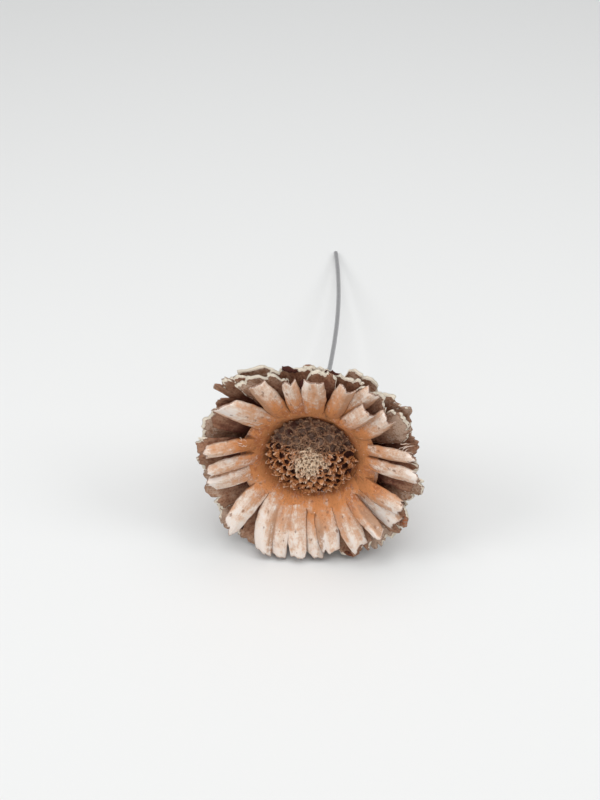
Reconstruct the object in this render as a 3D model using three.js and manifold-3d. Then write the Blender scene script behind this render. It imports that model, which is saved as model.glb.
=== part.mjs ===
// A dried, lime-washed protea head on a plain wire stem, lying as it is left on a table: the head
// stands on the worn tips of its lowest bracts with its face towards -Y, and the wire slopes back to
// the table behind it.
//
// The pieces are the woody receptacle (stem stub, cone and the domed seat of the florets with its
// pointed scales), the ring of inner bracts that makes the face, the rows of outer bracts behind it,
// and the wire.
//
// Millimetres, +Z up. The origin is on the table under the middle of the whole flower.

import * as THREE from "three";
import { mergeVertices } from "three/addons/utils/BufferGeometryUtils.js";
import Module from "manifold-3d";

const wasm = await Module();
wasm.setup();

// ---------------------------------------------------------------- driving dimensions

const HEAD_CENTRE = [-0.3, -77.1, 38.2]; // middle of the head's rim
const FACE_TILT = THREE.MathUtils.degToRad(10); // how far the face looks up
const FACE_TURN = THREE.MathUtils.degToRad(7); // how far the face looks to the left

const STUB_RADIUS = 5.6; // the cut stem under the head
const STUB_END = -36; // height of its cut face, along the head's axis
const CONE_RADIUS = 15.2; // the receptacle where the dome starts
const DOME_EDGE = -4.4; // height of the dome's edge, down in the well of the face
const DOME_TOP = 1.4;

const SCALE_COUNT = 76; // pointed scales on the dome, one beside the pit of each floret
const SCALE_SPREAD = 0.72; // above 0.5, the pits grow towards the dome's edge
const SCALE_MARGIN = 1.4; // from the outermost scale's middle to the edge
const SCALE_WIDTH = 3.2; // at the edge
const SCALE_HEIGHT = 2.9; // at the edge
const SCALE_SMALLEST = 0.5; // size of the middle ones, as a share of those at the edge
const SCALE_SUNK = 0.8; // depth of a scale's root below the dome
const SCALE_LEAN = 0.4; // how far its point turns from the head's axis towards the dome's normal

const WIRE_DIAMETER = 1.8;
const WIRE_HOLE_DIAMETER = 2.5;
const WIRE_HOLE_DEPTH = 13;
const WIRE_END_GAP = 0.5; // between the wire's end and the bottom of its hole
const WIRE_TIP = [11.9, 93.3, WIRE_DIAMETER / 2]; // centre of the wire's far end, on the table
const WIRE_STRAIGHT = 3; // length that leaves the stub straight, before the one long bend
const WIRE_BEND = 30; // how far the bend still follows the head's axis
const WIRE_APPROACH = [2.8, -58, 13]; // from the tip, where the bend's last part comes from

const CLEARANCE = 0.4; // between the cone and the ring or skin round it
const SKIN_THICKNESS = 1.5; // of the layer over the cone that the outer bracts grow from
const SMOOTHED = 0.06; // how far a surface may move where the slivers of a union are merged away

// How many flat sides or steps stand for each round or curved form.
const SIDES = { cone: 24, basin: 30, hole: 12, halfWire: 5 };
const STEPS = { dome: 4, basin: 3, bract: 4, wire: 20 };

const GOLDEN_ANGLE = Math.PI * (3 - Math.sqrt(5));
const SEED = 20422;

// The inner bracts as the photo shows them, each as [azimuth of its root, azimuth of its tip, greatest
// width, how much longer than its row it is]. Azimuths are in degrees, anticlockwise from the head's
// right.
const INNER_FRONT = [
  [6, 0, 6.8, 2.5], [22, 12, 6.2, 0.5], [39, 43, 7.8, 1.1], [55, 53, 7, -2], [71, 70, 7.2, 1.6],
  [88, 88, 8.8, 2.2], [102, 102, 6.4, 0.4], [117, 119, 7.8, 2.8], [134, 142, 10.4, 3.6],
  [162, 174, 6.8, 1], [181, 187, 6.2, -1.7], [216, 226, 8.6, 1.1], [232, 250, 8, 3.8],
  [247, 257, 6.8, 3], [260, 267, 7, 0.8], [286, 285, 8.4, -0.4], [304, 302, 8.6, 0],
  [318, 318, 6.4, -1.7], [340, 340, 7.4, 0],
];
const INNER_BACK = [
  [62, 57, 7.8, 3.6], [197, 195, 7, 0.7], [274, 276, 6.8, 1], [330, 327, 8.4, 0.7],
];

// The head isn't round: how much further than their rows the outer bracts reach, as [azimuth, extra].
const OUTLINE = [
  [0, 0.4], [20, 0.2], [40, 2.2], [66, 0.8], [78, -0.9], [95, -1.8], [112, 0.6], [128, 5.2],
  [140, 2.6], [150, -0.4], [165, 0.2], [178, 0.8], [200, 0.4], [222, 4.2], [236, 3.5],
  [252, 0.3], [285, 0.3], [305, 3.4], [335, 3], [348, 1.8], [360, 0.4],
];

// One row of bracts after another, from the face to the stem stub. Four sections shape a bract, root
// to tip, each given as [radius, height, width] in the head's frame, and a cubic Bezier curve blends
// them. The widths of the inner rows are shares of each bract's greatest width. A tip loses up to
// `ragged` at random, and `pointed` times the distance from its point to the power `blunt`; the point
// is up to `slant` to one side, as a share of half the width. `uneven` is how far a row follows the
// head's outline.
const INNER_ROWS = [
  {
    places: INNER_FRONT,
    shape: { thickness: 0.8, ragged: 1.8, pointed: 0.9, blunt: 1, slant: 0.9, crown: 1.2 },
    sections: [[16.2, -6.6, 0.8], [17.4, 0.2, 0.45], [26, 3.8, 1.5], [39.2, 8.0, 0.62]],
  },
  {
    places: INNER_BACK,
    shape: { thickness: 0.8, ragged: 1.8, pointed: 0.9, blunt: 1, slant: 0.9, crown: 0.9 },
    sections: [[16.2, -7.4, 0.8], [17.8, -0.6, 0.45], [26.4, 2.1, 1.5], [39.2, 6.4, 0.62]],
  },
];
const OUTER_ROWS = [
  {
    count: 12,
    phase: 0.93,
    uneven: 1,
    shape: { thickness: 1.0, ragged: 1.6, pointed: 1.8, blunt: 3, slant: 0.5, crown: 0 },
    sections: [[15.5, -12, 6], [21, -4.9, 8.6], [29.2, -1.4, 14], [40.7, 2.9, 15]],
  },
  {
    count: 12,
    phase: 0.43,
    uneven: 1,
    shape: { thickness: 1.0, ragged: 1.4, pointed: 1.8, blunt: 3, slant: 0.5, crown: 0 },
    sections: [[14.2, -16.5, 5.6], [21, -9.8, 8.4], [30, -4, 14], [40.6, 0.4, 15.6]],
  },
  {
    count: 11,
    phase: 0.8,
    uneven: 1,
    shape: { thickness: 1.0, ragged: 1.4, pointed: 1.6, blunt: 3, slant: 0.5, crown: 0 },
    sections: [[12.2, -21, 5.2], [20, -15.4, 8.8], [30, -8.4, 14.6], [37.8, -2.9, 15.6]],
  },
  {
    count: 10,
    phase: 0.55,
    uneven: 0.5,
    shape: { thickness: 1.0, ragged: 1.2, pointed: 1.2, blunt: 3, slant: 0.5, crown: 0 },
    sections: [[10.1, -25.5, 4.8], [17, -21.6, 8.4], [27, -14.6, 13.4], [32.8, -9.2, 12]],
  },
  {
    count: 9,
    phase: 0.1,
    uneven: 0,
    shape: { thickness: 0.9, ragged: 1, pointed: 1, blunt: 3, slant: 0.5, crown: 0 },
    sections: [[8.3, -28.7, 4.2], [12.5, -26.8, 7.2], [20, -21.6, 11.2], [26.5, -16.2, 8.6]],
  },
  {
    count: 7,
    phase: 0.6,
    uneven: 0,
    shape: { thickness: 0.9, ragged: 0.7, pointed: 1, blunt: 3, slant: 0.5, crown: 0 },
    sections: [[7.1, -31, 4], [9, -30.4, 6.2], [13.5, -27.4, 8.8], [18, -23.4, 5.6]],
  },
];
const BASIN_END = 0.42; // how far along the inner bracts their fused part reaches
const BASIN_SKIN = 0.15; // how far it stands proud of them on either side

// How far one bract differs from its row, either way.
const VARY = {
  azimuth: 2.6, // degrees
  sway: 3.5, // degrees from the root's azimuth to the tip's
  width: 0.14, // as a share
  length: 1.3, // of the tip's radius
  flare: 0.9, // of the tip's height
  twist: 0.16, // radians at the tip
};

// ---------------------------------------------------------------- small helpers

// Park and Miller's generator: the same seed always gives the same head.
function seededDraws(seed) {
  let state = seed;
  return () => {
    state = (state * 16807) % 2147483647;
    return state / 2147483647;
  };
}

// A closed geometry with its shared vertices merged, as a solid that booleans can work on.
function solidOf(geometry) {
  geometry.deleteAttribute("normal");
  geometry.deleteAttribute("uv");
  const merged = mergeVertices(geometry, 1e-4);
  return new wasm.Manifold(
    new wasm.Mesh({
      numProp: 3,
      vertProperties: merged.attributes.position.array,
      triVerts: new Uint32Array(merged.index.array),
    }),
  );
}

function solidFrom(points, triangles) {
  return new wasm.Manifold(
    new wasm.Mesh({
      numProp: 3,
      vertProperties: new Float32Array(points.flat()),
      triVerts: new Uint32Array(triangles.flat()),
    }),
  );
}

function geometryOf(solid) {
  const { vertProperties, triVerts } = solid.getMesh();
  const geometry = new THREE.BufferGeometry();
  geometry.setAttribute("position", new THREE.BufferAttribute(vertProperties, 3));
  geometry.setIndex(new THREE.BufferAttribute(triVerts, 1));
  geometry.computeVertexNormals();
  return geometry;
}

// The largest of the bodies that a cut leaves, with its slivers merged away; loose scraps are dropped.
function mainBody(solid) {
  const bodies = solid.simplify(SMOOTHED).decompose();
  return bodies.sort((a, b) => b.volume() - a.volume())[0];
}

// A solid of revolution about the head's axis, from a closed profile of [radius, height] points.
function lathe(profile, segments) {
  const geometry = new THREE.LatheGeometry(
    profile.map(([radius, height]) => new THREE.Vector2(radius, height)),
    segments,
  );
  geometry.rotateX(Math.PI / 2); // LatheGeometry turns about Y, and the head's axis is Z
  return solidOf(geometry);
}

function bezier([a, b, c, d], s) {
  const t = 1 - s;
  return t * t * t * a + 3 * t * t * s * b + 3 * t * s * s * c + s * s * s * d;
}

function bezierSlope([a, b, c, d], s) {
  const t = 1 - s;
  return 3 * t * t * (b - a) + 6 * t * s * (c - b) + 3 * s * s * (d - c);
}

// ---------------------------------------------------------------- bracts

const RAGGED_POINTS = 4; // the torn tip's edge has its own length at each of these, across the bract

// How much further than round the head reaches at an azimuth, straight between the listed ones.
function outlineAt(azimuth) {
  const angle = ((azimuth % 360) + 360) % 360;
  const next = OUTLINE.findIndex(([listed]) => listed > angle);
  const [[before, extra], [after, nextExtra]] = OUTLINE.slice(next - 1, next + 1);
  return extra + ((nextExtra - extra) * (angle - before)) / (after - before);
}

// Where a row's bracts stand and how much longer than the row they are: the listed places, or even
// ones that draws loosen.
function rowPlaces({ places, count, phase, uneven }, draw) {
  const spread = () => 2 * draw() - 1;
  const loosened = (_, index) => {
    const root = (360 * (index + phase)) / count + VARY.azimuth * spread();
    const tip = root + VARY.sway * spread();
    return [root, tip, 1 + VARY.width * spread(), uneven * outlineAt(tip)];
  };
  return places ?? Array.from({ length: count }, loosened);
}

// The drawn shape of one bract: its sections, moved from its row's by the draws, and its bends.
function drawBract({ sections, shape }, [root, tip, width, extra], draw) {
  const spread = () => 2 * draw() - 1;
  const longer = extra + VARY.length * spread();
  const forward = VARY.flare * spread();
  const twist = VARY.twist * spread();
  const torn = Array.from({ length: RAGGED_POINTS }, () => shape.ragged * draw());
  const point = shape.slant * spread();
  const share = [0, 0, 0.5, 1]; // how far each section follows the tip
  return {
    ...shape,
    azimuth: THREE.MathUtils.degToRad(root),
    sway: THREE.MathUtils.degToRad(tip - root),
    twist,
    torn,
    point,
    radii: sections.map(([radius], k) => radius + longer * share[k]),
    heights: sections.map(([, height], k) => height + forward * share[k]),
    widths: sections.map((section) => section[2] * width),
  };
}

// A point [radius, height] of the Bezier line at s along it (root 0, tip 1), lifted off it towards
// the face.
function curvePoint(radii, heights, s, lift) {
  const dr = bezierSlope(radii, s);
  const dh = bezierSlope(heights, s);
  const run = Math.hypot(dr, dh);
  return [bezier(radii, s) - (dh / run) * lift, bezier(heights, s) + (dr / run) * lift];
}

// A point of the bract at s along it and v across it (-1 to 1), lifted off its middle surface. The
// bract follows the Bezier line in the half-plane through the head's axis, its width wraps round that
// axis, and its sides fall back by its crown at the tip.
function bractPoint(bract, s, v, lift) {
  const halfWidth = bezier(bract.widths, s) / 2;
  const raised = lift + bract.twist * s * v * halfWidth - bract.crown * s * v * v;
  const [radius, height] = curvePoint(bract.radii, bract.heights, s, raised);
  const azimuth = bract.azimuth + bract.sway * s * s + (v * halfWidth) / bezier(bract.radii, s);
  return [radius * Math.cos(azimuth), radius * Math.sin(azimuth), height];
}

// The bract as a closed blade. Both faces are split into triangles alike.
function bractSolid(bract) {
  const steps = STEPS.bract;
  const across = RAGGED_POINTS - 1;
  const length = Math.hypot(bract.radii[3] - bract.radii[0], bract.heights[3] - bract.heights[0]);
  const points = [];
  const place = (i, j, side) => (side * (steps + 1) + i) * (across + 1) + j;
  for (const side of [0, 1])
    for (let i = 0; i <= steps; i++)
      for (let j = 0; j <= across; j++) {
        const v = (2 * j) / across - 1;
        const slant = bract.pointed * Math.abs(v - bract.point) ** bract.blunt;
        const s = (i / steps) * (1 - ((bract.torn[j] + slant) / length) * (i / steps) ** 2);
        points.push(bractPoint(bract, s, v, (side - 0.5) * bract.thickness));
      }
  const triangles = [];
  const quad = (a, b, c, d) => triangles.push([a, b, c], [a, c, d]);
  for (let i = 0; i < steps; i++)
    for (let j = 0; j < across; j++) {
      const corners = [[i, j], [i + 1, j], [i + 1, j + 1], [i, j + 1]];
      const [a, b, c, d] = corners.map(([p, q]) => place(p, q, 1));
      const [e, f, g, h] = corners.map(([p, q]) => place(p, q, 0));
      quad(a, b, c, d);
      triangles.push([e, g, f], [e, h, g]);
    }
  for (let i = 0; i < steps; i++) {
    quad(place(i, 0, 0), place(i + 1, 0, 0), place(i + 1, 0, 1), place(i, 0, 1));
    quad(place(i + 1, across, 0), place(i, across, 0), place(i, across, 1), place(i + 1, across, 1));
  }
  for (let j = 0; j < across; j++) {
    quad(place(0, j + 1, 0), place(0, j, 0), place(0, j, 1), place(0, j + 1, 1));
    quad(place(steps, j, 0), place(steps, j + 1, 0), place(steps, j + 1, 1), place(steps, j, 1));
  }
  return solidFrom(points, triangles);
}

function bractRows(rows, draw) {
  return rows.flatMap((row) =>
    rowPlaces(row, draw).map((place) => bractSolid(drawBract(row, place, draw))),
  );
}

// ---------------------------------------------------------------- receptacle

// The side of the receptacle from the stub's end to the edge of the dome, as [radius, height].
const CONE_SIDE = [
  [STUB_RADIUS, STUB_END],
  [STUB_RADIUS, -32.4],
  [6.4, -30.4],
  [8.9, -26],
  [11.2, -21],
  [13.1, -16],
  [14.6, -11],
  [CONE_RADIUS, -8],
  [CONE_RADIUS, DOME_EDGE],
];

const DOME_SPHERE =
  (CONE_RADIUS ** 2 + (DOME_TOP - DOME_EDGE) ** 2) / (2 * (DOME_TOP - DOME_EDGE));

function domeHeight(radius) {
  return DOME_TOP - DOME_SPHERE + Math.sqrt(DOME_SPHERE ** 2 - radius ** 2);
}

function domeProfile(steps) {
  return Array.from({ length: steps }, (_, i) => {
    const radius = CONE_RADIUS * (1 - (i + 1) / steps);
    return [radius, domeHeight(radius)];
  });
}

// A pointed scale: a three-sided spike, its root in the dome and its point turned outwards. Its
// corners are placed by shares of its width.
function scaleSolid(index) {
  const share = ((index + 0.5) / SCALE_COUNT) ** SCALE_SPREAD;
  const radius = (CONE_RADIUS - SCALE_MARGIN) * share;
  const azimuth = index * GOLDEN_ANGLE;
  const slope = Math.asin(radius / DOME_SPHERE);
  const size = SCALE_SMALLEST + (1 - SCALE_SMALLEST) * share;
  const width = SCALE_WIDTH * size;
  const place = (out, side, up) => {
    const tilt = up > 0 ? SCALE_LEAN * slope : slope;
    const r = radius + out * Math.cos(slope) + up * Math.sin(tilt);
    const h = domeHeight(radius) - out * Math.sin(slope) + up * Math.cos(tilt);
    return [
      r * Math.cos(azimuth) - side * Math.sin(azimuth),
      r * Math.sin(azimuth) + side * Math.cos(azimuth),
      h,
    ];
  };
  const corners = [
    place(-0.25 * width, 0.55 * width, -SCALE_SUNK),
    place(-0.25 * width, -0.55 * width, -SCALE_SUNK),
    place(0.4 * width, 0, -SCALE_SUNK),
    place(0.25 * width, 0, SCALE_HEIGHT * size),
  ];
  return solidFrom(corners, [[0, 2, 1], [0, 1, 3], [1, 2, 3], [2, 0, 3]]);
}

function receptacleSolid() {
  const core = lathe([[0, STUB_END], ...CONE_SIDE, ...domeProfile(STEPS.dome)], SIDES.cone);
  const scales = Array.from({ length: SCALE_COUNT }, (_, index) => scaleSolid(index));
  const bore = lathe(
    [
      [0, STUB_END - 1],
      [WIRE_HOLE_DIAMETER / 2, STUB_END - 1],
      [WIRE_HOLE_DIAMETER / 2, STUB_END + WIRE_HOLE_DEPTH],
      [0, STUB_END + WIRE_HOLE_DEPTH],
    ],
    SIDES.hole,
  );
  return wasm.Manifold.union([core, ...scales]).subtract(bore);
}

// The fused lower part of the inner bracts: a ring that fills the space from their front row to their
// back row.
function basinSolid() {
  const [front, back] = INNER_ROWS;
  const side = (row, way) =>
    Array.from({ length: STEPS.basin + 1 }, (_, i) => {
      const radii = row.sections.map(([radius]) => radius);
      const heights = row.sections.map(([, height]) => height);
      const s = (BASIN_END * i) / STEPS.basin;
      return curvePoint(radii, heights, s, way * (row.shape.thickness / 2 + BASIN_SKIN));
    });
  const upper = side(front, 1).reverse();
  const lower = side(back, -1);
  return lathe([...lower, ...upper, lower[0]], SIDES.basin);
}

// The layer over the side of the cone, between its stub and its widest part.
function coneSkin() {
  const layer = (out) => CONE_SIDE.slice(2, -2).map(([radius, height]) => [radius + out, height]);
  const inside = layer(CLEARANCE);
  const outside = layer(CLEARANCE + SKIN_THICKNESS).reverse();
  return lathe([...inside, ...outside, inside[0]].reverse(), SIDES.cone);
}

// ---------------------------------------------------------------- the head and the wire

const head = new THREE.Group();
head.position.set(...HEAD_CENTRE);
const faceDirection = new THREE.Vector3(
  -Math.sin(FACE_TURN) * Math.cos(FACE_TILT),
  -Math.cos(FACE_TURN) * Math.cos(FACE_TILT),
  Math.sin(FACE_TILT),
);
const headRight = new THREE.Vector3(0, 0, 1).cross(faceDirection).normalize();
const headUp = new THREE.Vector3().crossVectors(faceDirection, headRight);
head.quaternion.setFromRotationMatrix(
  new THREE.Matrix4().makeBasis(headRight, headUp, faceDirection),
);
head.updateMatrixWorld(true);

// A slab below the table, wider than the head, in the head's frame: it wears the lowest tips flat.
function belowTable() {
  const [width, depth] = [300, 40];
  const slab = new THREE.BoxGeometry(width, width, depth).translate(0, 0, -depth / 2);
  return solidOf(slab.applyMatrix4(head.matrixWorld.clone().invert()));
}

function addPiece(group, name, solid, colour, roughness, metalness = 0) {
  const material = new THREE.MeshStandardMaterial({ color: colour, roughness, metalness });
  const mesh = new THREE.Mesh(geometryOf(solid), material);
  mesh.name = name;
  group.add(mesh);
}

const draw = seededDraws(SEED);
const table = belowTable();
const innerBracts = wasm.Manifold.union([basinSolid(), ...bractRows(INNER_ROWS, draw)]);
const outerBracts = wasm.Manifold.union([coneSkin(), ...bractRows(OUTER_ROWS, draw)]);

addPiece(head, "receptacle", mainBody(receptacleSolid()), 0x9a7350, 0.8);
addPiece(head, "inner_bracts", mainBody(innerBracts.subtract(table)), 0xd0a27c, 0.65);
addPiece(head, "outer_bracts", mainBody(outerBracts.subtract(table)), 0x8a6552, 0.8);

// The wire runs straight out of the stub along the head's axis, and then sags in one bend to the table.
function wireGeometry() {
  const along = (height) =>
    new THREE.Vector3(0, 0, height).applyMatrix4(head.matrixWorld);
  const tip = new THREE.Vector3(...WIRE_TIP);
  const path = new THREE.CurvePath();
  const leaves = along(STUB_END - WIRE_STRAIGHT);
  const comes = tip.clone().add(new THREE.Vector3(...WIRE_APPROACH));
  path.add(new THREE.LineCurve3(along(STUB_END + WIRE_HOLE_DEPTH - WIRE_END_GAP), leaves));
  path.add(new THREE.CubicBezierCurve3(leaves, along(STUB_END - WIRE_BEND), comes, tip));
  const section = new THREE.Shape().absarc(0, 0, WIRE_DIAMETER / 2, 0, 2 * Math.PI);
  return new THREE.ExtrudeGeometry(section, {
    curveSegments: SIDES.halfWire,
    steps: STEPS.wire,
    extrudePath: path,
    bevelEnabled: false,
  });
}

const root = new THREE.Group();
root.add(head);
addPiece(root, "wire_stem", solidOf(wireGeometry()), 0x9c9c9c, 0.4, 0.9);

export default root;
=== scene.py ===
"""A dried, lime-washed protea head on a wire stem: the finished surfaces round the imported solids.

Every piece is worked out in the head's own frame, in millimetres, and then set in the row frame in
metres. The head's axis is the third direction of its frame, and the face looks along it.
"""

import math

import bpy
import numpy as np
from bpy.props import FloatProperty, FloatVectorProperty, IntProperty, PointerProperty
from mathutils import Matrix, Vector


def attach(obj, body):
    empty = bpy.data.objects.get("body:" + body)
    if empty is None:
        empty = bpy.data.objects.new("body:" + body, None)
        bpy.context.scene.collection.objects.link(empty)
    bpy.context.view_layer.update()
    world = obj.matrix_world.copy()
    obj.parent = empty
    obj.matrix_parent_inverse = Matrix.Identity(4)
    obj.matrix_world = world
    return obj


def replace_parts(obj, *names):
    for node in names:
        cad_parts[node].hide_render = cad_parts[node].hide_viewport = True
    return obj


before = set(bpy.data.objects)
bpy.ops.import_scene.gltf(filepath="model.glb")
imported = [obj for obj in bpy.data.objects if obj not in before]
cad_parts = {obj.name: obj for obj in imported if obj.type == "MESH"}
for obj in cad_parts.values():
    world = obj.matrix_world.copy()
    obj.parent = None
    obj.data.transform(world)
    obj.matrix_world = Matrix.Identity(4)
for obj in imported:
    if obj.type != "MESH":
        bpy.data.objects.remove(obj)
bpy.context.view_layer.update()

bl_info = {
    "name": "Dried protea head",
    "version": (1, 0, 0),
    "blender": (4, 5, 0),
    "location": "View3D > Sidebar > Protea",
    "description": "Builds a dried, lime-washed protea head on a wire stem",
    "category": "Object",
}

MM = 0.001

# ---- the shape's driving dimensions, in mm

SEED = 20422
GOLDEN_ANGLE = math.pi * (3 - math.sqrt(5))

STUB_RADIUS = 5.6
STUB_END = -36.0
CONE_RADIUS = 15.2
DOME_EDGE = -4.4
DOME_TOP = 1.4
CONE_SIDE = [
    (STUB_RADIUS, STUB_END), (STUB_RADIUS, -32.4), (6.4, -30.4), (8.9, -26.0), (11.2, -21.0),
    (13.1, -16.0), (14.6, -11.0), (CONE_RADIUS, -8.0), (CONE_RADIUS, DOME_EDGE),
]

WIRE_RADIUS = 0.9
WIRE_HOLE_RADIUS = 1.25
WIRE_HOLE_DEPTH = 13.0
WIRE_END_GAP = 0.5
WIRE_TIP = (11.9, 93.3, WIRE_RADIUS)
WIRE_STRAIGHT = 3.0
WIRE_BEND = 30.0
WIRE_APPROACH = (2.8, -58.0, 13.0)

# Each inner bract that the photo shows: its azimuth at the root and at the tip, in degrees
# anticlockwise from the right, its greatest width, and how much longer than its row it is.
INNER_FRONT = [
    (6, 0, 6.8, 2.5), (22, 12, 6.2, 0.5), (39, 43, 7.8, 1.1), (55, 53, 7.0, -2.0), (71, 70, 7.2, 1.6),
    (88, 88, 8.8, 2.2), (102, 102, 6.4, 0.4), (117, 119, 7.8, 2.8), (134, 142, 10.4, 3.6),
    (162, 174, 6.8, 1.0), (181, 187, 6.2, -1.7), (216, 226, 8.6, 1.1), (232, 250, 8.0, 3.8),
    (247, 257, 6.8, 3.0), (260, 267, 7.0, 0.8), (286, 285, 8.4, -0.4), (304, 302, 8.6, 0.0),
    (318, 318, 6.4, -1.7), (340, 340, 7.4, 0.0),
]
INNER_BACK = [(62, 57, 7.8, 3.6), (197, 195, 7.0, 0.7), (274, 276, 6.8, 1.0), (330, 327, 8.4, 0.7)]

# The head isn't round: how much further than their rows the outer bracts reach, at each azimuth.
OUTLINE = [
    (0, 0.4), (20, 0.2), (40, 2.2), (66, 0.8), (78, -0.9), (95, -1.8), (112, 0.6), (128, 5.2),
    (140, 2.6), (150, -0.4), (165, 0.2), (178, 0.8), (200, 0.4), (222, 4.2), (236, 3.5),
    (252, 0.3), (285, 0.3), (305, 3.4), (335, 3.0), (348, 1.8), (360, 0.4),
]

# Each row of bracts has four sections (radius, height, width), root to tip, that a cubic Bezier
# curve blends. The widths of the inner rows are shares of the bract's greatest width. "uneven" is how
# far a row follows the outline.
INNER_ROWS = [
    {"places": INNER_FRONT, "crown": 1.2,
     "sections": [(16.2, -6.6, 0.8), (17.4, 0.2, 0.45), (26, 3.8, 1.5), (39.2, 8.0, 0.62)]},
    {"places": INNER_BACK, "crown": 0.9,
     "sections": [(16.2, -7.4, 0.8), (17.8, -0.6, 0.45), (26.4, 2.1, 1.5), (39.2, 6.4, 0.62)]},
]
OUTER_ROWS = [
    {"count": 12, "phase": 0.93, "uneven": 1, "ragged": 1.6, "pointed": 1.8,
     "sections": [(15.5, -12, 6), (21, -4.9, 8.6), (29.2, -1.4, 14), (40.7, 2.9, 15)]},
    {"count": 12, "phase": 0.43, "uneven": 1, "ragged": 1.4, "pointed": 1.8,
     "sections": [(14.2, -16.5, 5.6), (21, -9.8, 8.4), (30, -4, 14), (40.6, 0.4, 15.6)]},
    {"count": 11, "phase": 0.8, "uneven": 1, "ragged": 1.4, "pointed": 1.6,
     "sections": [(12.2, -21, 5.2), (20, -15.4, 8.8), (30, -8.4, 14.6), (37.8, -2.9, 15.6)]},
    {"count": 10, "phase": 0.55, "uneven": 0.5, "ragged": 1.2, "pointed": 1.2,
     "sections": [(10.1, -25.5, 4.8), (17, -21.6, 8.4), (27, -14.6, 13.4), (32.8, -9.2, 12)]},
    {"count": 9, "phase": 0.1, "uneven": 0, "ragged": 1.0, "pointed": 1.0,
     "sections": [(8.3, -28.7, 4.2), (12.5, -26.8, 7.2), (20, -21.6, 11.2), (26.5, -16.2, 8.6)]},
    {"count": 7, "phase": 0.6, "uneven": 0, "ragged": 0.7, "pointed": 1.0,
     "sections": [(7.1, -31, 4), (9, -30.4, 6.2), (13.5, -27.4, 8.8), (18, -23.4, 5.6)]},
]
# What all rows of a kind share: the form of the tip, the height of the lumps on a worn bract, how far
# in its torn rim shows at the tip and at the sides, and how strongly it shows at the sides. A grid has
# this many points along a bract and across it.
INNER_KIND = {"ragged": 1.8, "pointed": 0.9, "blunt": 1, "slant": 0.9,
              "lumps": 0.1, "tip_rim": 0.8, "side_rim": 0.8, "side_share": 0.45}
OUTER_KIND = {"crown": 0, "blunt": 3, "slant": 0.5,
              "lumps": 0.22, "tip_rim": 1.5, "side_rim": 1.4, "side_share": 0.7}
INNER_GRID = (30, 24)
OUTER_GRID = (20, 37)
# How far the draws move each bract off its even place, in degrees, mm and shares.
VARY_AZIMUTH = 2.6
VARY_SWAY = 3.5
VARY_LENGTH = 1.3
VARY_FLARE = 0.9
VARY_WIDTH = 0.14
VARY_TWIST = 0.16
TORN_POINTS = 4

# What each use adds to the seed of the wear, so that no two share their draws.
WEAR_STEPS = {"bracts": 5, "basin": 9, "receptacle": 13, "scales": 21, "curls": 31, "fibres": 41}


# ---- settings

LENGTH, ANGLE, COLOUR = {"unit": "LENGTH"}, {"subtype": "ANGLE"}, {"subtype": "COLOR"}
PLACE = {"subtype": "TRANSLATION", "unit": "LENGTH"}


def setting(name, description, default, **unit):
    """A number that a user may change, or three of them where the default has three."""
    said = {"name": name, "description": description, "default": default, **unit}
    return FloatVectorProperty(size=3, **said) if isinstance(default, tuple) else FloatProperty(**said)


class ProteaShape(bpy.types.PropertyGroup):
    """Where the head stands and how worn it is."""

    head_centre: setting("Head centre", "Middle of the head's rim", (-0.0003, -0.0771, 0.0382), **PLACE)
    face_tilt: setting("Face tilt", "How far the face looks up", math.radians(10), **ANGLE)
    face_turn: setting("Face turn", "How far the face looks to the left", math.radians(7), **ANGLE)
    inner_thickness: setting("Inner bracts", "Thickness of the bracts of the face", 0.0006, **LENGTH)
    outer_thickness: setting("Outer bracts", "Thickness of the bracts behind the face", 0.0008, **LENGTH)
    wear_seed: IntProperty(
        name="Wear", description="Seed of the tears, bends and loose fibres", default=77)


class ProteaColours(bpy.types.PropertyGroup):
    """The colours of the dried head."""

    basin: setting("Basin", "Bracts round the dome", (0.68, 0.268, 0.095), **COLOUR)
    tan: setting("Tan", "Bare inner bracts", (0.70, 0.38, 0.225), **COLOUR)
    wash: setting("Whitewash", "Lime specks and pale edges", (0.77, 0.64, 0.555), **COLOUR)
    bark: setting("Bark brown", "Outer bracts", (0.35, 0.16, 0.09), **COLOUR)
    torn: setting("Torn rim", "Bare torn edges", (0.90, 0.80, 0.66), **COLOUR)
    pit: setting("Pit", "Bottom of the floret pits", (0.075, 0.026, 0.018), **COLOUR)


class ProteaStage(bpy.types.PropertyGroup):
    """The camera and the light."""

    camera_distance: setting("Camera distance", "From the middle of the view", 0.7, **LENGTH)
    camera_elevation: setting("Camera elevation", "Above the horizon", math.radians(42.1), **ANGLE)
    focal_length: setting("Focal length", "In mm, for a frame 24 mm high", 54.9)
    view_centre: setting("View centre", "What the camera looks at", (-0.0037, -0.0233, 0.0195), **PLACE)
    light: setting("Light", "Strength of all the lamps", 1.0)


# ---- numbers and curves

def seeded_draws(seed):
    """Park and Miller's generator, from 0 to 1: each state is the last one times 16807, modulo
    2 to the power 31 less 1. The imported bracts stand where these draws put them."""
    state = seed
    while True:
        state = state * 16807 % 2147483647
        yield state / 2147483647


def smooth_step(low, high, x):
    """0 below low, 1 above high, and the cubic 3t^2 - 2t^3 between them."""
    t = np.clip((x - low) / (high - low), 0, 1)
    return t * t * (3 - 2 * t)


def bezier(points, s):
    """Cubic Bezier curve: the four values weighted by t^3, 3t^2 s, 3t s^2 and s^3, with t = 1 - s."""
    t = 1 - s
    a, b, c, d = points
    return t ** 3 * a + 3 * t * t * s * b + 3 * t * s * s * c + s ** 3 * d


def bezier_slope(points, s):
    """The slope of the cubic Bezier curve at s."""
    t = 1 - s
    a, b, c, d = points
    return 3 * t * t * (b - a) + 6 * t * s * (c - b) + 3 * s * s * (d - c)


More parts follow.
